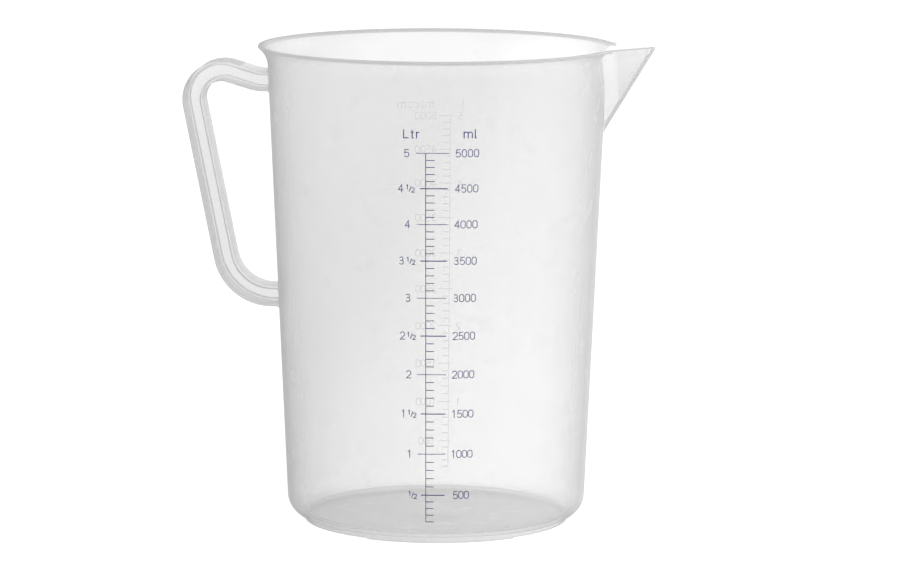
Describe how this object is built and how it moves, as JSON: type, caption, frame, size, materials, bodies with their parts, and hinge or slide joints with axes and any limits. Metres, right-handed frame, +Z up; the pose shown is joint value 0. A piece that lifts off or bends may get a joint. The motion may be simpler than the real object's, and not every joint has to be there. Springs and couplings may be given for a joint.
{
  "type": "measuring jug",
  "caption": "Tall tapered measuring jug of milky plastic with a curled rim, a V-shaped pouring spout, an open I-section handle and a printed litre and millilitre scale.",
  "frame": {"origin": "on the ground, midway between the ends of the handle and the spout; the vertical axis of the round vessel is 9.8 mm from it towards the spout", "axes": "+Z up, parallel to the vessel's axis; +X towards the spout and -X towards the handle; the printed scale faces -Y and the raised scale +Y"},
  "size_m": [0.265, 0.2003, 0.2691],
  "materials": {
    "milky_plastic": "translucent natural polypropylene, satin gloss",
    "raised_plastic": "the same translucent polypropylene, raised",
    "blue_ink": "printed ink"
  },
  "bodies": {
    "root": {"vessel_wall": "milky_plastic", "rim_lip": "milky_plastic", "base_corner": "milky_plastic", "base_floor": "milky_plastic", "foot_front_pad": "milky_plastic", "foot_rear_pad": "milky_plastic", "foot_spout_side": "milky_plastic", "foot_handle_side": "milky_plastic", "pouring_spout": "milky_plastic", "handle_web": "milky_plastic", "handle_outer_flange": "milky_plastic", "handle_inner_flange": "milky_plastic", "print_scale_line": "blue_ink", "print_litre_marks": "blue_ink", "print_half_litre_marks": "blue_ink", "print_minor_marks": "blue_ink", "print_litre_numerals": "blue_ink", "print_millilitre_numerals": "blue_ink", "print_headings": "blue_ink", "relief_scale_line": "raised_plastic", "relief_long_marks": "raised_plastic", "relief_minor_marks": "raised_plastic", "relief_millilitre_numerals": "raised_plastic", "relief_litre_numerals": "raised_plastic", "relief_headings": "raised_plastic"}
  },
  "joints": []
}
